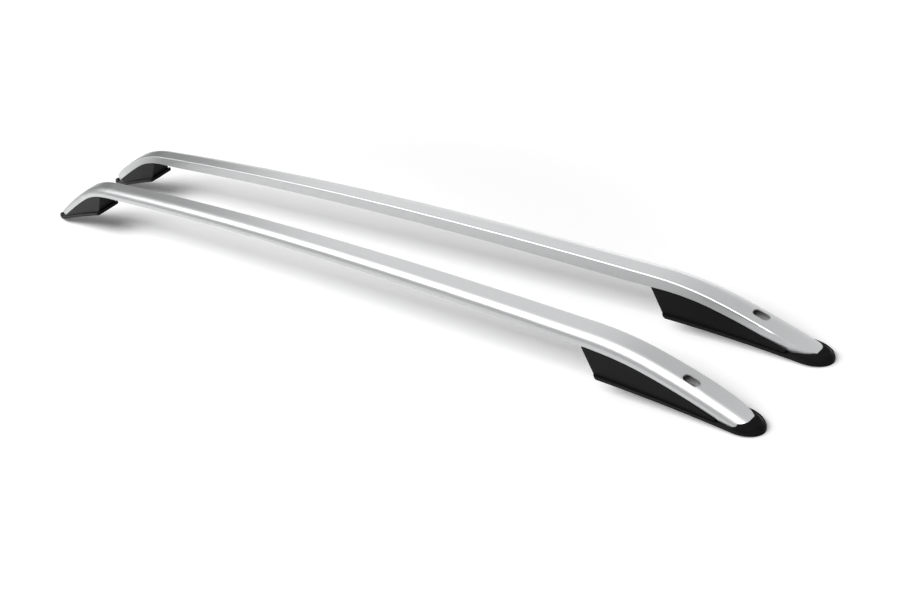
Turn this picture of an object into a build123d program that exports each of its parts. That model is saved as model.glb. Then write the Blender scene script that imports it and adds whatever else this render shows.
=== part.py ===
from math import asin, atan2, cos, degrees, hypot, radians, sin
import os

from build123d import *

os.makedirs("parts", exist_ok=True)

# Roof side rail pair: two mirror-image bent aluminium bars, each carried by two moulded feet.
# X runs along the rails towards the long front slope, Z is up, all lengths in millimetres.

# Overall layout
RAIL_LENGTH = 1804.0
RAIL_SPACING = 126.0
TIP_X = RAIL_LENGTH / 2

# Bar section: flat top, upright inner side, quarter-round outer shoulder, eased lower outer edge
BAR_W = 31.0
BAR_H = 18.5
BAR_WALL = 2.0
SHOULDER_R = 13.0
UNDER_R = 5.0
RIDGE_R = 2.0
RIDGE_INNER_R = 0.6

# Bar tips, shaped in plan: the inner side tapers away
BAR_FRONT_TIP_X = TIP_X - 13.0
BAR_FRONT_INNER_L = 85.0
BAR_FRONT_INNER = ((46.0, 1.0), (21.0, 3.0), (6.0, 6.5), (0.0, 13.0))
BAR_FRONT_OUTER = ((0.0, 11.0), (4.0, 4.5))
BAR_FRONT_OUTER_L = 14.0
BAR_TRIM_SIDE = 0.4
BAR_REAR_TIP_X = 30.0 - TIP_X
BAR_REAR_TIP_Y = -7.0
BAR_REAR_TAPER_X = 152.0 - TIP_X
BAR_REAR_OUTER_L = 42.0

# Bend line of the bar's top: a shallow crown between two bends, each running out into a tail
CROWN_R = 13700.0
FRONT_BEND_X = TIP_X - 219.0
FRONT_BEND_Z = 80.2
FRONT_BEND_R = 370.0
FRONT_SLOPE = 19.5
FRONT_TAIL_R = 900.0
FRONT_TAIL_SLOPE = 26.5
REAR_BEND_X = 346.0 - TIP_X
REAR_BEND_Z = 113.0
REAR_BEND_R = 430.0
REAR_SLOPE = 18.1
REAR_TAIL_R = 2500.0
REAR_TAIL_SLOPE = 23.0
TAIL_END = 50.0

# Underside of the bar, pressed up over the feet
FRONT_PRESS_X = TIP_X - 312.0
FRONT_PRESS_L = 200.0
FRONT_PRESS = 5.2
REAR_PRESS_X = 452.0 - TIP_X
REAR_PRESS_L = 230.0
REAR_PRESS = 5.0
PRESS_LEAD = 0.5

# Bolt slots through the top and bolt holes under them
SLOT_L = 21.5
SLOT_W = 10.5
FRONT_SLOT_X = TIP_X - 84.0
REAR_SLOT_X = 132.0 - TIP_X
BOLT_HOLE_D = 7.0
SLEEVE_OD = 10.0
SLEEVE_ID = 6.6
SLEEVE_LIFT = 0.5

# Feet: drafted hollow mouldings on a base flange that swells into a nose round the bar's tip
GASKET_T = 2.0
GASKET_INSET = 0.8
FLANGE_T = 3.5
FLANGE_CORNER_R = 5.0
PANEL_INSET = 1.0
FOOT_WALL = 2.8
RIB_T = 2.0
BOSS_D = 15.0
HOLLOW_HALF = 11.5
NOSE_TOP_R = 6.0
NOSE_DRAFT = 0.72

# Front foot
FRONT_BASE_X = TIP_X - 222.5
FRONT_BASE_Z = 23.2
FRONT_BASE_RISE = 3.0
FRONT_PANEL_END = (TIP_X - 220.0, TIP_X - 230.0)
FRONT_PANEL_OUT = TIP_X - 49.0
FRONT_PANEL_HALF = 18.3
FRONT_PANEL_DRAFT = 0.080
FRONT_FLANGE_HALF = 20.5
FRONT_NOSE = ((TIP_X - 32.0, 18.7), (TIP_X, 0.0), (TIP_X - 32.0, -18.7))
FRONT_NOSE_EASE = 0.55
FRONT_NOSE_RIM = ((TIP_X - 66.0, 0.0), (TIP_X - 49.0, 13.5), (TIP_X - 14.0, 13.8), (TIP_X, 9.0))
FRONT_HOLLOW = (TIP_X - 215.5, TIP_X - 225.5, TIP_X - 68.0)
FRONT_RIB_X = (TIP_X - 167.0, TIP_X - 112.0)

# Rear foot
REAR_BASE_X = 278.0 - TIP_X
REAR_BASE_Z = 55.0
REAR_BASE_RISE = 2.0
REAR_PANEL_END = (269.0 - TIP_X, 310.0 - TIP_X)
REAR_PANEL_OUT = 57.0 - TIP_X
REAR_PANEL_HALF = 19.6
REAR_PANEL_DRAFT = 0.115
REAR_FLANGE_HALF = 24.0
REAR_NOSE = ((137.0 - TIP_X, 21.2), (-TIP_X, -7.0), (50.0 - TIP_X, -20.4))
REAR_NOSE_EASE = 0.22
REAR_NOSE_RIM = ((46.0 - TIP_X, 0.0), (36.0 - TIP_X, 15.0), (10.0 - TIP_X, 12.5), (-TIP_X, 7.0))
REAR_HOLLOW = (263.5 - TIP_X, 304.0 - TIP_X, 87.0 - TIP_X)
REAR_RIB_X = (217.0 - TIP_X, 164.0 - TIP_X)

# Screws that hold each foot to its bar
SCREW_D = 4.0
SCREW_HEAD_D = 8.0
SCREW_HEAD_T = 2.6
SCREW_REACH = 4.0
FRONT_SCREW_X = (TIP_X - 190.0, TIP_X - 137.0)
REAR_SCREW_X = (247.0 - TIP_X, 190.0 - TIP_X)

# The two hands of the pair
RIGHT_HAND = 1
LEFT_HAND = -1

# Reach of cutting shapes past the piece that they cut
PAST = 20.0
WIDE = 60.0
TALL = 200.0


# Crest of the crown, from its radius and the ends of the two bends
def crown_crest():
    chord = hypot(FRONT_BEND_X - REAR_BEND_X, FRONT_BEND_Z - REAR_BEND_Z)
    drop = (CROWN_R**2 - (chord / 2) ** 2) ** 0.5
    nx, nz = (REAR_BEND_Z - FRONT_BEND_Z) / chord, (FRONT_BEND_X - REAR_BEND_X) / chord
    centre_x = (FRONT_BEND_X + REAR_BEND_X) / 2 - nx * drop
    centre_z = (FRONT_BEND_Z + REAR_BEND_Z) / 2 - nz * drop
    return centre_x, centre_z + CROWN_R


CREST_X, CREST_Z = crown_crest()


# Height and downhill angle of the bar's top line at a place along the rail
def top_line(x):
    if x > FRONT_BEND_X:
        start = asin((FRONT_BEND_X - CREST_X) / CROWN_R)
        z0 = CREST_Z - CROWN_R * (1 - cos(start))
        end_x = FRONT_BEND_X + FRONT_BEND_R * (sin(radians(FRONT_SLOPE)) - sin(start))
        angle = asin(sin(start) + (min(x, end_x) - FRONT_BEND_X) / FRONT_BEND_R)
        z = z0 - FRONT_BEND_R * (cos(start) - cos(angle))
        if x > end_x:
            tail = asin(sin(angle) + (x - end_x) / FRONT_TAIL_R)
            z = z - FRONT_TAIL_R * (cos(angle) - cos(tail))
            angle = tail
        return z, angle
    if x > REAR_BEND_X:
        angle = asin((x - CREST_X) / CROWN_R)
        return CREST_Z - CROWN_R * (1 - cos(angle)), angle
    start = asin((CREST_X - REAR_BEND_X) / CROWN_R)
    z0 = CREST_Z - CROWN_R * (1 - cos(start))
    knee_x = REAR_BEND_X - REAR_BEND_R * (sin(radians(REAR_SLOPE)) - sin(start))
    angle = asin(sin(start) + (REAR_BEND_X - max(x, knee_x)) / REAR_BEND_R)
    z = z0 - REAR_BEND_R * (cos(start) - cos(angle))
    if x < knee_x:
        tail = asin(sin(angle) + (knee_x - x) / REAR_TAIL_R)
        z = z - REAR_TAIL_R * (cos(angle) - cos(tail))
        angle = tail
    return z, -angle


# Centre and radius of the shallow arc that a foot's base follows on the roof
def base_circle(x0, z0, x1, z1, rise):
    chord = hypot(x1 - x0, z1 - z0)
    radius = chord**2 / (8 * rise) + rise / 2
    nx, nz = (z0 - z1) / chord, (x1 - x0) / chord
    if nz < 0:
        nx, nz = -nx, -nz
    mid_x, mid_z = (x0 + x1) / 2, (z0 + z1) / 2
    drop = radius - rise
    return mid_x - nx * drop, mid_z - nz * drop, radius


REST_X = TIP_X - GASKET_INSET
FRONT_CIRCLE = base_circle(FRONT_BASE_X, FRONT_BASE_Z, REST_X, 0.0, FRONT_BASE_RISE)
REAR_CIRCLE = base_circle(REAR_BASE_X, REAR_BASE_Z, -REST_X, 0.0, REAR_BASE_RISE)


# Height of a foot's base arc, raised by a layer's thickness
def base_z(circle, x, lift=0.0):
    cx, cz, radius = circle
    return cz + ((radius + lift) ** 2 - (x - cx) ** 2) ** 0.5


# Direction of a foot's bolt, square to its base, as the X and Z parts of a unit vector
def base_normal(circle, x):
    cx, cz, radius = circle
    nx = (x - cx) / radius
    return nx, (1 - nx**2) ** 0.5


FRONT_BOLT = base_normal(FRONT_CIRCLE, FRONT_SLOT_X)
REAR_BOLT = base_normal(REAR_CIRCLE, REAR_SLOT_X)
FRONT_BOLT_TOP = (FRONT_SLOT_X, 0, top_line(FRONT_SLOT_X)[0])
REAR_BOLT_TOP = (REAR_SLOT_X, 0, top_line(REAR_SLOT_X)[0])
FRONT_BOLT_PLANE = Plane(FRONT_BOLT_TOP, x_dir=(0, 1, 0), z_dir=(-FRONT_BOLT[0], 0, -FRONT_BOLT[1]))
REAR_BOLT_PLANE = Plane(REAR_BOLT_TOP, x_dir=(0, 1, 0), z_dir=(-REAR_BOLT[0], 0, -REAR_BOLT[1]))


# Height of the bar's underside at a place along the rail, with its pressing over the feet
def seat_line(x):
    z, angle = top_line(x)
    if x > 0:
        share = (x - FRONT_PRESS_X) / FRONT_PRESS_L
        press = FRONT_PRESS
    else:
        share = (REAR_PRESS_X - x) / REAR_PRESS_L
        press = REAR_PRESS
    share = min(max(share, 0.0), 1.0)
    rise = (press + PRESS_LEAD) * share**2 * (3 - 2 * share) - PRESS_LEAD
    return z - BAR_H / cos(angle) + rise


# Plane on the bar's underside at a place along the rail, facing down out of the bar
def under_bar(x):
    slope = atan2(seat_line(x + 1) - seat_line(x - 1), 2)
    return Plane((x, 0, seat_line(x)), x_dir=(0, 1, 0), z_dir=(sin(slope), 0, -cos(slope)))


# Space over or under the bar's underside above one foot, from a drop below it to a far height
def seat_space(front, drop, far_z):
    if front:
        x0, x1 = FRONT_PRESS_X, TIP_X + PAST
    else:
        x0, x1 = -TIP_X - PAST, REAR_PRESS_X
    steps = [x0 + (x1 - x0) * i / 12 for i in range(13)]
    with BuildPart() as space:
        with BuildSketch(Plane.XZ):
            with BuildLine():
                seat = Spline(*[(x, seat_line(x) - drop) for x in steps])
                Polyline(seat @ 1, (x1, far_z), (x0, far_z), seat @ 0)
            make_face()
        extrude(amount=WIDE, both=True)
    return space.part


# Bend line of the bar, drawn from the crest both ways
CROWN_FRONT = degrees(asin((FRONT_BEND_X - CREST_X) / CROWN_R))
CROWN_REAR = degrees(asin((CREST_X - REAR_BEND_X) / CROWN_R))
with BuildLine(Plane.XZ) as bend:
    front_crown = JernArc((CREST_X, CREST_Z), (1, 0), CROWN_R, -CROWN_FRONT)
    front_bend = JernArc(front_crown @ 1, front_crown % 1, FRONT_BEND_R, CROWN_FRONT - FRONT_SLOPE)
    front_tail = JernArc(front_bend @ 1, front_bend % 1, FRONT_TAIL_R, FRONT_SLOPE - FRONT_TAIL_SLOPE)
    Line(front_tail @ 1, front_tail @ 1 + (front_tail % 1) * TAIL_END)
    rear_crown = JernArc((CREST_X, CREST_Z), (-1, 0), CROWN_R, CROWN_REAR)
    rear_bend = JernArc(rear_crown @ 1, rear_crown % 1, REAR_BEND_R, REAR_SLOPE - CROWN_REAR)
    rear_tail = JernArc(rear_bend @ 1, rear_bend % 1, REAR_TAIL_R, REAR_TAIL_SLOPE - REAR_SLOPE)
    Line(rear_tail @ 1, rear_tail @ 1 + (rear_tail % 1) * TAIL_END)
PATH = bend.wire()
START = Plane(PATH @ 0, x_dir=(0, 1, 0), z_dir=PATH % 0)
UP = 1 if START.y_dir.Z > 0 else -1


# Outline of the bar's section, shrunk evenly by a wall thickness
def section_face(hand, inset):
    half = hand * (BAR_W / 2 - inset)
    top = -inset * UP
    low = -(BAR_H - inset) * UP
    turn = -hand * UP
    shoulder = SHOULDER_R - inset
    under = UNDER_R - inset
    ridge = max(RIDGE_R - inset, RIDGE_INNER_R)
    flat_in, flat_out = half - hand * ridge, hand * shoulder - half
    under_in = hand * under - half
    with BuildSketch() as face:
        with BuildLine():
            Line((half, low), (half, top - ridge * UP))
            RadiusArc((half, top - ridge * UP), (flat_in, top), ridge * turn)
            Line((flat_in, top), (flat_out, top))
            RadiusArc((flat_out, top), (-half, top - shoulder * UP), shoulder * turn)
            Line((-half, top - shoulder * UP), (-half, low + under * UP))
            RadiusArc((-half, low + under * UP), (under_in, low), under * turn)
            Line((under_in, low), (half, low))
        make_face()
    return face.sketch


# Control points of a quarter-round that leaves a straight side and turns square across a tip
def quarter(side_point, tip_point):
    x0, y0 = side_point
    x1, y1 = tip_point
    ease = FRONT_NOSE_EASE if x1 > 0 else REAR_NOSE_EASE
    return (x0, y0), (x0 + ease * (x1 - x0), y0), (x1, y1 + ease * (y0 - y1)), (x1, y1)


# Plan shape of a foot's base: eased corners at the inner end, narrowing to a rounded nose
def plan_face(hand, inner_x, half, nose, inset=0.0):
    (in_x, in_y), (tip_x, tip_y), (out_x, out_y) = nose
    side = 1 if tip_x > 0 else -1
    start_x = inner_x + side * inset
    wide = hand * (half - inset)
    tip = (tip_x - side * inset, hand * tip_y)
    with BuildSketch() as face:
        with BuildLine():
            inner = Bezier(*quarter((in_x, hand * (in_y - inset)), tip))
            outer = Bezier(*quarter((out_x, hand * (out_y + inset)), tip))
            Polyline(inner @ 0, (start_x, wide), (start_x, -wide), outer @ 0)
        make_face()
        fillet(face.vertices().sort_by(Axis.X, reverse=side < 0)[:2], FLANGE_CORNER_R - inset)
    return face.sketch


# Plan shape that the bar's tips are trimmed to, shrunk by a wall thickness
def tip_plan_face(hand, inset):
    half = BAR_W / 2 - inset
    wide = hand * (half + BAR_TRIM_SIDE)
    front, rear = BAR_FRONT_TIP_X - inset, BAR_REAR_TIP_X + inset
    with BuildSketch() as face:
        with BuildLine():
            inner_side = [(front - back, hand * (half - cut)) for back, cut in BAR_FRONT_INNER]
            outer_side = [(front - back, hand * (cut - half)) for back, cut in BAR_FRONT_OUTER]
            inner_start, outer_end = (front - BAR_FRONT_INNER_L, wide), (front - BAR_FRONT_OUTER_L, -wide)
            inner = Spline(inner_start, *inner_side, tangents=[(1, 0), (0, -hand)])
            outer = Spline(*outer_side, outer_end, tangents=[(0, -hand), (-1, 0)])
            Line(inner @ 1, outer @ 0)
            rear_tip = (rear, hand * BAR_REAR_TIP_Y)
            rear_inner = Bezier(*quarter((BAR_REAR_TAPER_X, wide), rear_tip))
            rear_outer = Bezier(*quarter((rear + BAR_REAR_OUTER_L, -wide), rear_tip))
            Line(outer @ 1, rear_outer @ 0)
            Line(rear_inner @ 0, inner @ 0)
        make_face()
    return face.sketch


# Side shape between two heights above a foot's base arc
def layer_face(circle, x0, x1, low, high):
    mid = (x0 + x1) / 2
    with BuildSketch() as face:
        with BuildLine():
            a = ThreePointArc(*((x, base_z(circle, x, low)) for x in (x0, mid, x1)))
            b = ThreePointArc(*((x, base_z(circle, x, high)) for x in (x1, mid, x0)))
            Line(a @ 1, b @ 0)
            Line(b @ 1, a @ 0)
        make_face()
    return face.sketch


# Side shape of a foot's panel, from a layer above its base up into the bar
def panel_face(circle, inner_x, top_x, outer_x, low):
    mid = (inner_x + outer_x) / 2
    with BuildSketch() as face:
        with BuildLine():
            base = ThreePointArc(*((x, base_z(circle, x, low)) for x in (inner_x, mid, outer_x)))
            Polyline(base @ 1, (outer_x, TALL), (top_x, TALL), (top_x, seat_line(top_x)), base @ 0)
        make_face()
    return face.sketch


# Side shape of a nose: from its back up to its rim, along the rim to the tip and down
def nose_face(circle, rim):
    back, low_rim, crest, face_top = rim
    tip_x = face_top[0]
    with BuildSketch() as face:
        with BuildLine():
            mid = (back[0] + tip_x) / 2
            base = ThreePointArc(*((x, base_z(circle, x, GASKET_T)) for x in (back[0], mid, tip_x)))
            Polyline(base @ 0, low_rim, crest, face_top, base @ 1)
        make_face()
        fillet(face.vertices().sort_by_distance(crest)[:1], NOSE_TOP_R)
    return face.sketch


# Plan shape of a nose alone, shrunk evenly, for its drafted sides
def nose_plan(hand, nose, inset):
    (in_x, in_y), (tip_x, tip_y), (out_x, out_y) = nose
    in_side, out_side = hand * (in_y - inset), hand * (out_y + inset)
    side = 1 if tip_x > 0 else -1
    back_x = side * min(side * in_x, side * out_x) - side * PAST
    tip = (tip_x - side * inset, hand * tip_y)
    with BuildSketch() as face:
        with BuildLine():
            inner = Bezier(*quarter((in_x, in_side), tip))
            outer = Bezier(*quarter((out_x, out_side), tip))
            Polyline(inner @ 0, (back_x, in_side), (back_x, out_side), outer @ 0)
        make_face()
    return face.sketch


# Cross shape of a foot's panel, drafted inwards from its base
def draft_face(half, draft):
    low = half + TALL / 10 * draft
    high = half - TALL / 2 * draft
    with BuildSketch() as face:
        Polygon((-low, -TALL / 10), (low, -TALL / 10), (high, TALL / 2), (-high, TALL / 2), align=None)
    return face.sketch


SEAT = GASKET_T + FLANGE_T


# Bar as a solid, shrunk by a wall thickness: bent, pressed up under both ends and shaped at its tips
def bar_solid(hand, inset):
    with BuildPart() as solid:
        with BuildSketch(START):
            add(section_face(hand, inset))
        sweep(path=PATH)
        add(seat_space(True, -inset, -TALL), mode=Mode.SUBTRACT)
        add(seat_space(False, -inset, -TALL), mode=Mode.SUBTRACT)
        with BuildSketch(Plane.XY):
            add(tip_plan_face(hand, inset))
        extrude(amount=TALL, mode=Mode.INTERSECT)
        with BuildSketch(Plane.XZ):
            add(layer_face(FRONT_CIRCLE, FRONT_BASE_X, TIP_X + PAST, -WIDE, SEAT + inset))
            add(layer_face(REAR_CIRCLE, -TIP_X - PAST, REAR_BASE_X, -WIDE, SEAT + inset))
        extrude(amount=WIDE, both=True, mode=Mode.SUBTRACT)
    return solid.part


right_outside = bar_solid(RIGHT_HAND, 0.0)
left_outside = bar_solid(LEFT_HAND, 0.0)


# Outside of a foot: drafted panel under the bar, base flange and a nose block round the bar's tip
def foot_blank(hand, outside, circle, inner_x, panel_end, panel_out, half, draft, flange_half, nose, rim):
    tip_x = nose[1][0]
    side = 1 if tip_x > 0 else -1
    slope = atan2(base_z(circle, inner_x), abs(tip_x - inner_x))
    with BuildPart() as panel:
        with BuildSketch(Plane.XY):
            add(plan_face(hand, inner_x - side * WIDE, flange_half + PAST / 2, nose, PANEL_INSET))
        extrude(amount=TALL)
        with BuildSketch(Plane.XZ):
            add(panel_face(circle, panel_end[0], panel_end[1], panel_out, GASKET_T))
        extrude(amount=WIDE, both=True, mode=Mode.INTERSECT)
        base_plane = Plane((tip_x, 0, 0), x_dir=(0, 1, 0), z_dir=(cos(slope), 0, -side * sin(slope)))
        with BuildSketch(base_plane):
            if base_plane.y_dir.Z > 0:
                add(draft_face(half, draft))
            else:
                add(mirror(draft_face(half, draft), about=Plane.XZ))
        extrude(amount=RAIL_LENGTH, both=True, mode=Mode.INTERSECT)
        add(seat_space(side > 0, 0.0, 2 * TALL), mode=Mode.SUBTRACT)
    with BuildPart() as flange:
        with BuildSketch(Plane.XY):
            add(plan_face(hand, inner_x, flange_half, nose))
        extrude(amount=TALL)
        with BuildSketch(Plane.XZ):
            add(layer_face(circle, inner_x - side * PAST, tip_x + side * PAST, GASKET_T, SEAT))
        extrude(amount=WIDE, both=True, mode=Mode.INTERSECT)
    with BuildPart() as nose_block:
        crest_z = rim[2][1] + GASKET_T
        with BuildSketch(Plane.XY):
            add(nose_plan(hand, nose, -SEAT * NOSE_DRAFT))
        with BuildSketch(Plane.XY.offset(crest_z)):
            add(nose_plan(hand, nose, (crest_z - SEAT) * NOSE_DRAFT))
        loft(ruled=True)
        with BuildSketch(Plane.XY):
            add(plan_face(hand, inner_x, flange_half, nose))
        extrude(amount=TALL, mode=Mode.INTERSECT)
        with BuildSketch(Plane.XZ):
            add(nose_face(circle, rim))
        extrude(amount=WIDE, both=True, mode=Mode.INTERSECT)
    with BuildPart() as blank:
        add(panel.part)
        add(flange.part)
        add(nose_block.part)
        add(outside, mode=Mode.SUBTRACT)
    return blank.part


FRONT_FOOT = (
    FRONT_CIRCLE, FRONT_BASE_X, FRONT_PANEL_END, FRONT_PANEL_OUT, FRONT_PANEL_HALF, FRONT_PANEL_DRAFT,
    FRONT_FLANGE_HALF, FRONT_NOSE, FRONT_NOSE_RIM
)
REAR_FOOT = (
    REAR_CIRCLE, REAR_BASE_X, REAR_PANEL_END, REAR_PANEL_OUT, REAR_PANEL_HALF, REAR_PANEL_DRAFT,
    REAR_FLANGE_HALF, REAR_NOSE, REAR_NOSE_RIM
)


# Hollow of a foot, open below, under its top wall and between its side walls
def foot_hollow(circle, inner_x, top_x, outer_x):
    with BuildPart() as hollow:
        with BuildSketch(Plane.XZ):
            add(panel_face(circle, inner_x, top_x, outer_x, -SLEEVE_LIFT))
        extrude(amount=HOLLOW_HALF, both=True)
        add(seat_space(outer_x > 0, FOOT_WALL, 2 * TALL), mode=Mode.SUBTRACT)
    return hollow.part


front_hollow = foot_hollow(FRONT_CIRCLE, *FRONT_HOLLOW)
rear_hollow = foot_hollow(REAR_CIRCLE, *REAR_HOLLOW)


# Ribs across a foot's hollow and the boss round its bolt
def foot_ribs(circle, hollow, rib_x, bolt_plane):
    with BuildPart() as ribs:
        with Locations(*[(x, 0, 0) for x in rib_x]):
            Box(RIB_T, WIDE, 2 * TALL)
        with BuildSketch(bolt_plane):
            Circle(BOSS_D / 2)
        extrude(amount=TALL)
        add(hollow, mode=Mode.INTERSECT)
        with BuildSketch(Plane.XZ):
            add(layer_face(circle, min(rib_x) - 2 * WIDE, max(rib_x) + 2 * WIDE, -WIDE, GASKET_T))
        extrude(amount=WIDE, both=True, mode=Mode.SUBTRACT)
    return ribs.part


front_ribs = foot_ribs(FRONT_CIRCLE, front_hollow, FRONT_RIB_X, FRONT_BOLT_PLANE)
rear_ribs = foot_ribs(REAR_CIRCLE, rear_hollow, REAR_RIB_X, REAR_BOLT_PLANE)


# Sleeve that carries the bolt's clamping load from the bar through a foot to the roof
def bolt_sleeve(circle, x, bolt_plane):
    with BuildPart() as sleeve:
        with BuildSketch(bolt_plane.offset(BAR_H / 2)):
            Circle(SLEEVE_OD / 2)
            Circle(SLEEVE_ID / 2, mode=Mode.SUBTRACT)
        extrude(amount=TALL)
        with BuildSketch(Plane.XZ):
            add(layer_face(circle, x - WIDE, x + WIDE, -2 * TALL, SLEEVE_LIFT))
        extrude(amount=WIDE, both=True, mode=Mode.SUBTRACT)
        add(right_outside, mode=Mode.SUBTRACT)
    return sleeve.part


front_tube = bolt_sleeve(FRONT_CIRCLE, FRONT_SLOT_X, FRONT_BOLT_PLANE)
rear_tube = bolt_sleeve(REAR_CIRCLE, REAR_SLOT_X, REAR_BOLT_PLANE)


# Screws driven up through a foot's top wall into the bar's lower wall
def foot_screws(places):
    with BuildPart() as screws:
        for x in places:
            plane = under_bar(x)
            with BuildSketch(plane.offset(-SCREW_REACH)):
                Circle(SCREW_D / 2)
            extrude(amount=SCREW_REACH + FOOT_WALL)
            with BuildSketch(plane.offset(FOOT_WALL)):
                Circle(SCREW_HEAD_D / 2)
            extrude(amount=SCREW_HEAD_T)
    return screws.part


front_screw_set = foot_screws(FRONT_SCREW_X)
rear_screw_set = foot_screws(REAR_SCREW_X)


# Finished bar: hollow, with a slot over each bolt, a bolt hole below it and the screw holes
def finished_bar(hand, outside):
    with BuildPart() as bar:
        add(outside)
        add(bar_solid(hand, BAR_WALL), mode=Mode.SUBTRACT)
        for slot_x, bolt_plane in ((FRONT_SLOT_X, FRONT_BOLT_PLANE), (REAR_SLOT_X, REAR_BOLT_PLANE)):
            z, angle = top_line(slot_x)
            along, out = (cos(angle), 0, -sin(angle)), (sin(angle), 0, cos(angle))
            with BuildSketch(Plane((slot_x, 0, z), x_dir=along, z_dir=out)):
                SlotOverall(SLOT_L, SLOT_W)
            extrude(amount=-3 * BAR_WALL, mode=Mode.SUBTRACT)
            with BuildSketch(bolt_plane.offset(BAR_H / 2)):
                Circle(BOLT_HOLE_D / 2)
            extrude(amount=BAR_H, mode=Mode.SUBTRACT)
        add(front_screw_set, mode=Mode.SUBTRACT)
        add(rear_screw_set, mode=Mode.SUBTRACT)
    return bar.part


# Finished foot: blank, hollowed, ribbed, bored for its sleeve and screws
def finished_foot(hand, outside, spec, hollow, ribs, bolt_plane, screws):
    with BuildPart() as foot:
        add(foot_blank(hand, outside, *spec))
        add(hollow, mode=Mode.SUBTRACT)
        add(ribs)
        with BuildSketch(bolt_plane):
            Circle(SLEEVE_OD / 2)
        extrude(amount=TALL, mode=Mode.SUBTRACT)
        add(screws, mode=Mode.SUBTRACT)
    return foot.part


# Gasket under a foot's flange, following its base and open under the hollow
def foot_gasket(hand, circle, inner_x, flange_half, nose, hollow):
    tip_x = nose[1][0]
    with BuildPart() as gasket:
        with BuildSketch(Plane.XY):
            add(plan_face(hand, inner_x, flange_half, nose, GASKET_INSET))
        extrude(amount=TALL)
        with BuildSketch(Plane.XZ):
            add(layer_face(circle, min(inner_x, tip_x) - PAST, max(inner_x, tip_x) + PAST, 0.0, GASKET_T))
        extrude(amount=WIDE, both=True, mode=Mode.INTERSECT)
        add(hollow, mode=Mode.SUBTRACT)
    return gasket.part


FRONT_WORK = (FRONT_FOOT, front_hollow, front_ribs, FRONT_BOLT_PLANE, front_screw_set)
REAR_WORK = (REAR_FOOT, rear_hollow, rear_ribs, REAR_BOLT_PLANE, rear_screw_set)
FRONT_PAD = (FRONT_CIRCLE, FRONT_BASE_X, FRONT_FLANGE_HALF, FRONT_NOSE, front_hollow)
REAR_PAD = (REAR_CIRCLE, REAR_BASE_X, REAR_FLANGE_HALF, REAR_NOSE, rear_hollow)

# Right-hand rail in its place, with its rounded shoulder outwards
RIGHT = Pos(0, -RAIL_SPACING / 2, 0)
with BuildPart() as right_bar:
    add(RIGHT * finished_bar(RIGHT_HAND, right_outside))
right_bar.part.label = "right_bar"
export_step(right_bar.part, "parts/right_bar.step")

with BuildPart() as right_front_foot:
    add(RIGHT * finished_foot(RIGHT_HAND, right_outside, *FRONT_WORK))
right_front_foot.part.label = "right_front_foot"
export_step(right_front_foot.part, "parts/right_front_foot.step")

with BuildPart() as right_rear_foot:
    add(RIGHT * finished_foot(RIGHT_HAND, right_outside, *REAR_WORK))
right_rear_foot.part.label = "right_rear_foot"
export_step(right_rear_foot.part, "parts/right_rear_foot.step")

with BuildPart() as right_front_gasket:
    add(RIGHT * foot_gasket(RIGHT_HAND, *FRONT_PAD))
right_front_gasket.part.label = "right_front_gasket"
export_step(right_front_gasket.part, "parts/right_front_gasket.step")

with BuildPart() as right_rear_gasket:
    add(RIGHT * foot_gasket(RIGHT_HAND, *REAR_PAD))
right_rear_gasket.part.label = "right_rear_gasket"
export_step(right_rear_gasket.part, "parts/right_rear_gasket.step")

with BuildPart() as right_front_sleeve:
    add(RIGHT * front_tube)
right_front_sleeve.part.label = "right_front_sleeve"
export_step(right_front_sleeve.part, "parts/right_front_sleeve.step")

with BuildPart() as right_rear_sleeve:
    add(RIGHT * rear_tube)
right_rear_sleeve.part.label = "right_rear_sleeve"
export_step(right_rear_sleeve.part, "parts/right_rear_sleeve.step")

with BuildPart() as right_front_screws:
    add(RIGHT * front_screw_set)
right_front_screws.part.label = "right_front_screws"
export_step(right_front_screws.part, "parts/right_front_screws.step")

with BuildPart() as right_rear_screws:
    add(RIGHT * rear_screw_set)
right_rear_screws.part.label = "right_rear_screws"
export_step(right_rear_screws.part, "parts/right_rear_screws.step")

# Left-hand rail, turned over, beside it
LEFT = Pos(0, RAIL_SPACING / 2, 0)
with BuildPart() as left_bar:
    add(LEFT * finished_bar(LEFT_HAND, left_outside))
left_bar.part.label = "left_bar"
export_step(left_bar.part, "parts/left_bar.step")

with BuildPart() as left_front_foot:
    add(LEFT * finished_foot(LEFT_HAND, left_outside, *FRONT_WORK))
left_front_foot.part.label = "left_front_foot"
export_step(left_front_foot.part, "parts/left_front_foot.step")

with BuildPart() as left_rear_foot:
    add(LEFT * finished_foot(LEFT_HAND, left_outside, *REAR_WORK))
left_rear_foot.part.label = "left_rear_foot"
export_step(left_rear_foot.part, "parts/left_rear_foot.step")

with BuildPart() as left_front_gasket:
    add(LEFT * foot_gasket(LEFT_HAND, *FRONT_PAD))
left_front_gasket.part.label = "left_front_gasket"
export_step(left_front_gasket.part, "parts/left_front_gasket.step")

with BuildPart() as left_rear_gasket:
    add(LEFT * foot_gasket(LEFT_HAND, *REAR_PAD))
left_rear_gasket.part.label = "left_rear_gasket"
export_step(left_rear_gasket.part, "parts/left_rear_gasket.step")

with BuildPart() as left_front_sleeve:
    add(LEFT * front_tube)
left_front_sleeve.part.label = "left_front_sleeve"
export_step(left_front_sleeve.part, "parts/left_front_sleeve.step")

with BuildPart() as left_rear_sleeve:
    add(LEFT * rear_tube)
left_rear_sleeve.part.label = "left_rear_sleeve"
export_step(left_rear_sleeve.part, "parts/left_rear_sleeve.step")

with BuildPart() as left_front_screws:
    add(LEFT * front_screw_set)
left_front_screws.part.label = "left_front_screws"
export_step(left_front_screws.part, "parts/left_front_screws.step")

with BuildPart() as left_rear_screws:
    add(LEFT * rear_screw_set)
left_rear_screws.part.label = "left_rear_screws"
export_step(left_rear_screws.part, "parts/left_rear_screws.step")
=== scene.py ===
import math

import bpy
from mathutils import Matrix, Vector
from mathutils.bvhtree import BVHTree

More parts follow.
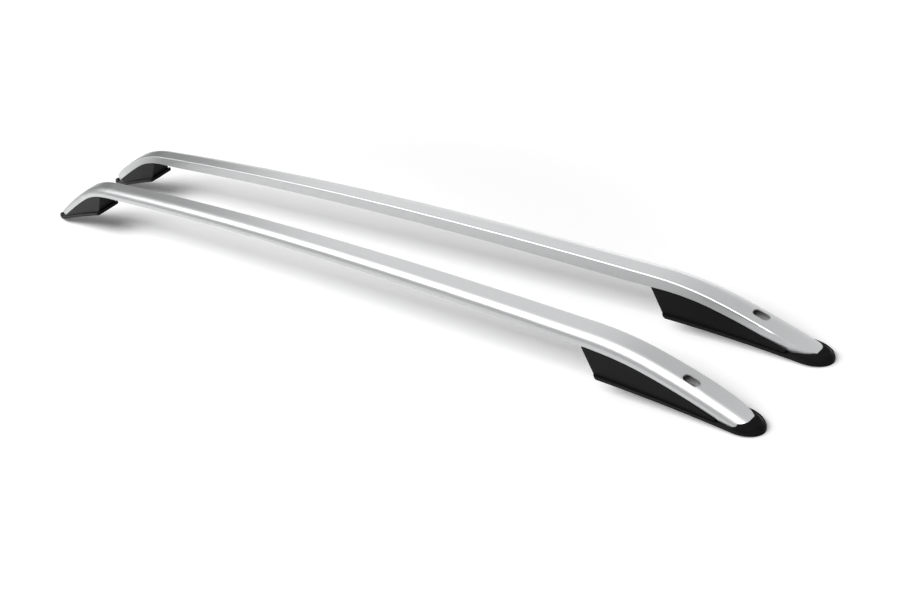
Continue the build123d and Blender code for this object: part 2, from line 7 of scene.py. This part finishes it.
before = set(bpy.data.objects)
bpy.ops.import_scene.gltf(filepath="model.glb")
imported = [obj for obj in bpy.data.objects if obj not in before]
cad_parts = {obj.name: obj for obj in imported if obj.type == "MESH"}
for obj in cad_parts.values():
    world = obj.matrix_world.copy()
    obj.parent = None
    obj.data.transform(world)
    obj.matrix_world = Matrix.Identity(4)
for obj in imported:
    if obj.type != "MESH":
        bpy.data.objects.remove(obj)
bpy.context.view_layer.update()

# Bars: hollow aluminium extrusions, bent cold to the roof line and satin anodised.
# The die leaves faint lines along the bar, and the etch before anodising a fine silky bloom.
SIDES = ("right", "left")
BAR_SILVER = (0.54, 0.545, 0.55, 1.0)
BAR_ROUGH = 0.35
DIE_LINE_STRETCH = (6.0, 900.0, 900.0)
DIE_LINE_SCALE = 1.0
DIE_LINE_DETAIL = 3.0
DIE_LINE_GLOSS = 0.05
DIE_LINE_STRENGTH = 0.03
DIE_LINE_HEIGHT = 0.0002
BLOOM_SCALE = 1400.0
BLOOM_DETAIL = 2.0


def link(tree, source, target):
    tree.links.new(source, target)


def math_node(tree, operation):
    node = tree.nodes.new("ShaderNodeMath")
    node.operation = operation
    return node


def noise_node(tree, detail):
    node = tree.nodes.new("ShaderNodeTexNoise")
    node.inputs["Detail"].default_value = detail
    return node


def surface_group(name, *inputs):
    group = bpy.data.node_groups.new(name, "ShaderNodeTree")
    for socket in inputs:
        group.interface.new_socket(socket, in_out="INPUT", socket_type="NodeSocketFloat")
    for socket in ("Roughness", "Height"):
        group.interface.new_socket(socket, in_out="OUTPUT", socket_type="NodeSocketFloat")
    return group, group.nodes.new("NodeGroupInput"), group.nodes.new("NodeGroupOutput")


def vary_roughness(group, entry, leave, pattern, amount):
    spread = group.nodes.new("ShaderNodeMapRange")
    spread.inputs["To Min"].default_value = -amount
    spread.inputs["To Max"].default_value = amount
    rough = math_node(group, "ADD")
    link(group, pattern, spread.inputs["Value"])
    link(group, spread.outputs["Result"], rough.inputs[0])
    link(group, entry.outputs["Roughness"], rough.inputs[1])
    link(group, rough.outputs[0], leave.inputs["Roughness"])


def die_line_group():
    group, entry, leave = surface_group("die_lines", "Roughness")
    place = group.nodes.new("ShaderNodeTexCoord")
    stretch = group.nodes.new("ShaderNodeMapping")
    stretch.inputs["Scale"].default_value = DIE_LINE_STRETCH
    drawn = noise_node(group, DIE_LINE_DETAIL)
    drawn.inputs["Scale"].default_value = DIE_LINE_SCALE
    bloom = noise_node(group, BLOOM_DETAIL)
    bloom.inputs["Scale"].default_value = BLOOM_SCALE
    both = math_node(group, "ADD")
    link(group, place.outputs["Object"], stretch.inputs["Vector"])
    link(group, place.outputs["Object"], bloom.inputs["Vector"])
    link(group, stretch.outputs["Vector"], drawn.inputs["Vector"])
    link(group, drawn.outputs["Fac"], both.inputs[0])
    link(group, bloom.outputs["Fac"], both.inputs[1])
    link(group, both.outputs[0], leave.inputs["Height"])
    vary_roughness(group, entry, leave, drawn.outputs["Fac"], DIE_LINE_GLOSS)
    return group


def new_finish(name, colour, metallic):
    finish = bpy.data.materials.new(name)
    finish.use_nodes = True
    body = finish.node_tree.nodes["Principled BSDF"]
    body.inputs["Base Color"].default_value = colour
    body.inputs["Metallic"].default_value = metallic
    return finish, body


def add_pattern(finish, body, group, roughness):
    pattern = finish.node_tree.nodes.new("ShaderNodeGroup")
    pattern.node_tree = group
    pattern.inputs["Roughness"].default_value = roughness
    link(finish.node_tree, pattern.outputs["Roughness"], body.inputs["Roughness"])
    return pattern


def add_relief(finish, body, pattern, strength, height):
    relief = finish.node_tree.nodes.new("ShaderNodeBump")
    relief.inputs["Strength"].default_value = strength
    relief.inputs["Distance"].default_value = height
    link(finish.node_tree, pattern.outputs["Height"], relief.inputs["Height"])
    link(finish.node_tree, relief.outputs["Normal"], body.inputs["Normal"])


def dress(node, *finishes):
    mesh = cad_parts[node].data
    mesh.materials.clear()
    for finish in finishes:
        mesh.materials.append(finish)
    return mesh


die_lines = die_line_group()
satin, satin_body = new_finish("satin_aluminium", BAR_SILVER, metallic=1.0)
satin_lines = add_pattern(satin, satin_body, die_lines, BAR_ROUGH)
add_relief(satin, satin_body, satin_lines, DIE_LINE_STRENGTH, DIE_LINE_HEIGHT)

# Bores of the bars: the inside keeps the extrusion's raw mill finish, chalky and without shine.
# Only the slots show it. A face that looks at another wall of its own bar close by lies in there.
MILL_GREY = (0.55, 0.55, 0.55, 1.0)
MILL_METALLIC = 0.25
MILL_ROUGH = 0.6
BORE_SLOT = 1
BORE_REACH = 0.06
BORE_START = 0.0001
mill, mill_body = new_finish("mill_aluminium", MILL_GREY, MILL_METALLIC)
add_pattern(mill, mill_body, die_lines, MILL_ROUGH)
for side in SIDES:
    bar = dress(side + "_bar", satin, mill)
    corners = [vertex.co for vertex in bar.vertices]
    skin = BVHTree.FromPolygons(corners, [face.vertices[:] for face in bar.polygons])
    for face in bar.polygons:
        start = face.center + face.normal * BORE_START
        if skin.ray_cast(start, face.normal, BORE_REACH)[0] is not None:
            face.material_index = BORE_SLOT

# Feet: glass-filled nylon mouldings in black, drafted so that they leave the mould.
# Their faces carry the mould's fine spark grain, which leaves them dull.
ENDS = ("front", "rear")
FOOT_BLACK = (0.005, 0.005, 0.0054, 1.0)
FOOT_ROUGH = 0.46
FOOT_GRAIN_SCALE = 2600.0
FOOT_GRAIN_HEIGHT = 0.0002
GRAIN_DETAIL = 4.0
GRAIN_FINENESS = 0.6
GRAIN_GLOSS = 0.08
GRAIN_STRENGTH = 0.25
DULL_SPECULAR = 0.06


def spark_grain_group():
    group, entry, leave = surface_group("spark_grain", "Scale", "Roughness")
    place = group.nodes.new("ShaderNodeTexCoord")
    grain = noise_node(group, GRAIN_DETAIL)
    grain.inputs["Roughness"].default_value = GRAIN_FINENESS
    link(group, place.outputs["Object"], grain.inputs["Vector"])
    link(group, entry.outputs["Scale"], grain.inputs["Scale"])
    link(group, grain.outputs["Fac"], leave.inputs["Height"])
    vary_roughness(group, entry, leave, grain.outputs["Fac"], GRAIN_GLOSS)
    return group


def grained_black(name, colour, roughness, grain_scale, grain_height):
    finish, body = new_finish(name, colour, metallic=0.0)
    body.inputs["Specular IOR Level"].default_value = DULL_SPECULAR
    grain = add_pattern(finish, body, spark_grain, roughness)
    grain.inputs["Scale"].default_value = grain_scale
    add_relief(finish, body, grain, GRAIN_STRENGTH, grain_height)
    return finish


spark_grain = spark_grain_group()
black_moulding = grained_black("black_moulding", FOOT_BLACK, FOOT_ROUGH,
                               FOOT_GRAIN_SCALE, FOOT_GRAIN_HEIGHT)
for side in SIDES:
    for end in ENDS:
        dress(side + "_" + end + "_foot", black_moulding)

# Gaskets: soft rubber mats cut to the flanges, pressed between foot and roof.
# They are duller and blacker than the mouldings above them.
RUBBER_BLACK = (0.004, 0.004, 0.004, 1.0)
RUBBER_ROUGH = 0.72
RUBBER_GRAIN_SCALE = 1500.0
RUBBER_GRAIN_HEIGHT = 0.0001
black_rubber = grained_black("black_rubber", RUBBER_BLACK, RUBBER_ROUGH,
                             RUBBER_GRAIN_SCALE, RUBBER_GRAIN_HEIGHT)
for side in SIDES:
    for end in ENDS:
        dress(side + "_" + end + "_gasket", black_rubber)

# Sleeves and screws: zinc-plated steel, the sleeves cut from tube and pressed into the feet,
# the screws with plain round heads, driven up from inside the feet into the bars.
PLATE_GREY = (0.6, 0.6, 0.57, 1.0)
PLATE_ROUGH = 0.34
PLATE_GRAIN_SCALE = 1800.0
plated_steel, plated_body = new_finish("plated_steel", PLATE_GREY, metallic=1.0)
plated_grain = add_pattern(plated_steel, plated_body, spark_grain, PLATE_ROUGH)
plated_grain.inputs["Scale"].default_value = PLATE_GRAIN_SCALE
for side in SIDES:
    for end in ENDS:
        dress(side + "_" + end + "_sleeve", plated_steel)
        dress(side + "_" + end + "_screws", plated_steel)

# Floor: a sheet of white studio paper, far larger than the picture.
# It shows as white to the camera and in the metal, and keeps the soft shadows round the rails:
# its own glow is weak on the ground near them and rises to white further out.
FLOOR_HALF = 14.0
FLOOR_WHITE = (0.9, 0.9, 0.9, 1.0)
GLOW_NEAR = 0.1
GLOW_FAR = 0.94
SHADOW_MIDDLE = (-0.25, -0.08, 0.0)
SHADOW_REACH = (1.2, 0.6, 1.0)
GLOW_RISE_START = 0.6
GLOW_RISE_END = 1.9


def seen_rays(tree):
    path = tree.nodes.new("ShaderNodeLightPath")
    seen = math_node(tree, "MAXIMUM")
    seen_through = math_node(tree, "MAXIMUM")
    link(tree, path.outputs["Is Camera Ray"], seen.inputs[0])
    link(tree, path.outputs["Is Glossy Ray"], seen.inputs[1])
    link(tree, seen.outputs[0], seen_through.inputs[0])
    link(tree, path.outputs["Is Transmission Ray"], seen_through.inputs[1])
    return seen_through.outputs[0]


def vector_node(tree, operation, source):
    node = tree.nodes.new("ShaderNodeVectorMath")
    node.operation = operation
    link(tree, source, node.inputs[0])
    return node


def four_corner_sheet(name, corners, finish):
    mesh = bpy.data.meshes.new(name)
    mesh.from_pydata(corners, [], [(0, 1, 2, 3)])
    mesh.materials.append(finish)
    sheet = bpy.data.objects.new(name, mesh)
    bpy.context.scene.collection.objects.link(sheet)
    return sheet


paper = bpy.data.materials.new("studio_paper")
paper.use_nodes = True
paper_tree = paper.node_tree
paper_tree.nodes.remove(paper_tree.nodes["Principled BSDF"])
matt = paper_tree.nodes.new("ShaderNodeBsdfDiffuse")
matt.inputs["Color"].default_value = FLOOR_WHITE
glow = paper_tree.nodes.new("ShaderNodeEmission")
spot = paper_tree.nodes.new("ShaderNodeTexCoord")
from_middle = vector_node(paper_tree, "SUBTRACT", spot.outputs["Object"])
from_middle.inputs[1].default_value = SHADOW_MIDDLE
in_reach = vector_node(paper_tree, "DIVIDE", from_middle.outputs["Vector"])
in_reach.inputs[1].default_value = SHADOW_REACH
away = vector_node(paper_tree, "LENGTH", in_reach.outputs["Vector"])
rise = paper_tree.nodes.new("ShaderNodeMapRange")
rise.interpolation_type = "SMOOTHSTEP"
rise.inputs["From Min"].default_value = GLOW_RISE_START
rise.inputs["From Max"].default_value = GLOW_RISE_END
rise.inputs["To Min"].default_value = GLOW_NEAR
rise.inputs["To Max"].default_value = GLOW_FAR
glow_level = math_node(paper_tree, "MULTIPLY")
both_shaders = paper_tree.nodes.new("ShaderNodeAddShader")
link(paper_tree, away.outputs["Value"], rise.inputs["Value"])
link(paper_tree, seen_rays(paper_tree), glow_level.inputs[0])
link(paper_tree, rise.outputs["Result"], glow_level.inputs[1])
link(paper_tree, glow_level.outputs[0], glow.inputs["Strength"])
link(paper_tree, matt.outputs[0], both_shaders.inputs[0])
link(paper_tree, glow.outputs[0], both_shaders.inputs[1])
link(paper_tree, both_shaders.outputs[0], paper_tree.nodes["Material Output"].inputs["Surface"])
floor_corners = [(-FLOOR_HALF, -FLOOR_HALF, 0.0), (FLOOR_HALF, -FLOOR_HALF, 0.0)]
floor_corners += [(FLOOR_HALF, FLOOR_HALF, 0.0), (-FLOOR_HALF, FLOOR_HALF, 0.0)]
floor = four_corner_sheet("studio_floor", floor_corners, paper)

# Light: a long soft box over the near side, running the way the rails run, a weaker one above the rails
# and another low beyond the far rail, in a white room. The long one draws the bright line along
# the near bar's shoulder and the far bar's ridge, and the soft shadows under the bars.
ROOM_COLOUR = (1.0, 1.0, 1.0, 1.0)
ROOM_LIGHT = 0.08
ROOM_WHITE = 1.0
world = bpy.data.worlds.new("white_room")
world.use_nodes = True
bpy.context.scene.world = world
room = world.node_tree.nodes["Background"]
room.inputs["Color"].default_value = ROOM_COLOUR
room_level = world.node_tree.nodes.new("ShaderNodeMapRange")
room_level.inputs["To Min"].default_value = ROOM_LIGHT
room_level.inputs["To Max"].default_value = ROOM_WHITE
link(world.node_tree, seen_rays(world.node_tree), room_level.inputs["Value"])
link(world.node_tree, room_level.outputs["Result"], room.inputs["Strength"])


def soft_box(name, place, aim, wide, tall, power):
    lamp = bpy.data.lights.new(name, "AREA")
    lamp.shape = "RECTANGLE"
    lamp.size = wide
    lamp.size_y = tall
    lamp.energy = power
    holder = bpy.data.objects.new(name, lamp)
    holder.location = place
    holder.rotation_euler = (Vector(aim) - Vector(place)).to_track_quat("-Z", "Y").to_euler()
    bpy.context.scene.collection.objects.link(holder)


soft_box("long_soft_box", place=(-1.1, -1.25, 2.2), aim=(-1.1, 0.0, 0.1), wide=6.0, tall=1.3, power=118.0)
soft_box("over_soft_box", place=(-1.5, -0.3, 2.6), aim=(-1.5, -0.29, 0.0), wide=5.4, tall=0.9, power=13.0)
soft_box("far_soft_box", place=(-1.85, 2.4, 0.9), aim=(0.6, 0.0, 0.1), wide=3.0, tall=1.2, power=12.0)

# Painted reflections: sheets that glow with a fixed brightness and are no lamps, a dark one past the rear
# end, and grey ones along the near side and above the front slopes. All are outside the picture, block no
# light and show only in reflections, where they paint darker tones onto the bars' bends and lower edges.
PAINTED_REFLECTION_DARK = 0.04
PAINTED_REFLECTION_GREY = 0.55
REAR_REFLECTION_X = -3.9
REAR_REFLECTION_Y = (-0.9, 4.5)
REAR_REFLECTION_TOP = 1.9
NEAR_REFLECTION_X = (-3.9, 0.9)
NEAR_REFLECTION_Y = -0.8
NEAR_REFLECTION_TOP = 0.65
TOP_REFLECTION_X = (-0.6, 1.3)
TOP_REFLECTION_Y = (0.9, 2.2)
TOP_REFLECTION_Z = 3.0


def painted_reflection_sheet(name, corners, grey):
    reflection_glow_material = bpy.data.materials.new(name)
    reflection_glow_material.use_nodes = True
    nodes = reflection_glow_material.node_tree.nodes
    nodes.remove(nodes["Principled BSDF"])
    # A fixed glow seen only by reflections: it paints a reflection onto the bars and lights nothing.
    shade = nodes.new("ShaderNodeEmission")
    shade.inputs["Strength"].default_value = grey
    link(reflection_glow_material.node_tree, shade.outputs[0], nodes["Material Output"].inputs["Surface"])
    card = four_corner_sheet(name, corners, reflection_glow_material)
    card.visible_camera = False
    card.visible_diffuse = False
    card.visible_transmission = False
    card.visible_shadow = False


def upright(start, end, top):
    return [(*start, 0.0), (*end, 0.0), (*end, top), (*start, top)]


rear_base = [(REAR_REFLECTION_X, y) for y in REAR_REFLECTION_Y]
near_base = [(x, NEAR_REFLECTION_Y) for x in NEAR_REFLECTION_X]
overhead = [(x, TOP_REFLECTION_Y[0], TOP_REFLECTION_Z) for x in TOP_REFLECTION_X]
overhead += [(x, TOP_REFLECTION_Y[1], TOP_REFLECTION_Z) for x in reversed(TOP_REFLECTION_X)]
painted_reflection_sheet("rear_painted_reflection", upright(*rear_base, REAR_REFLECTION_TOP), PAINTED_REFLECTION_DARK)
painted_reflection_sheet("top_painted_reflection", overhead, PAINTED_REFLECTION_GREY)
painted_reflection_sheet("near_painted_reflection", upright(*near_base, NEAR_REFLECTION_TOP), PAINTED_REFLECTION_GREY)

# Camera: the photograph's own view, from the front right and above, with the picture rolled.
# A 50 mm lens on a full frame, standing about two metres from the middle of the rails.
CAMERA_PLACE = (1.6761, -0.8129, 0.8395)
CAMERA_YAW = 1.027215
CAMERA_PITCH = 0.494114
CAMERA_ROLL = -0.391043
CAMERA_LENS = 50.17
CAMERA_SENSOR = 36.0
back = Vector((math.sin(CAMERA_YAW) * math.cos(CAMERA_PITCH),
               -math.cos(CAMERA_YAW) * math.cos(CAMERA_PITCH),
               math.sin(CAMERA_PITCH)))
level_right = (-back).cross(Vector((0, 0, 1))).normalized()
level_up = level_right.cross(-back)
view_right = math.cos(CAMERA_ROLL) * level_right + math.sin(CAMERA_ROLL) * level_up
view_up = -math.sin(CAMERA_ROLL) * level_right + math.cos(CAMERA_ROLL) * level_up
lens = bpy.data.cameras.new("photo_camera")
lens.sensor_fit = "HORIZONTAL"
lens.sensor_width = CAMERA_SENSOR
lens.lens = CAMERA_LENS
camera = bpy.data.objects.new("photo_camera", lens)
bpy.context.scene.collection.objects.link(camera)
turn = Matrix((view_right, view_up, back)).transposed().to_4x4()
camera.matrix_world = Matrix.Translation(CAMERA_PLACE) @ turn
bpy.context.scene.camera = camera
bpy.context.scene.view_settings.view_transform = "Standard"
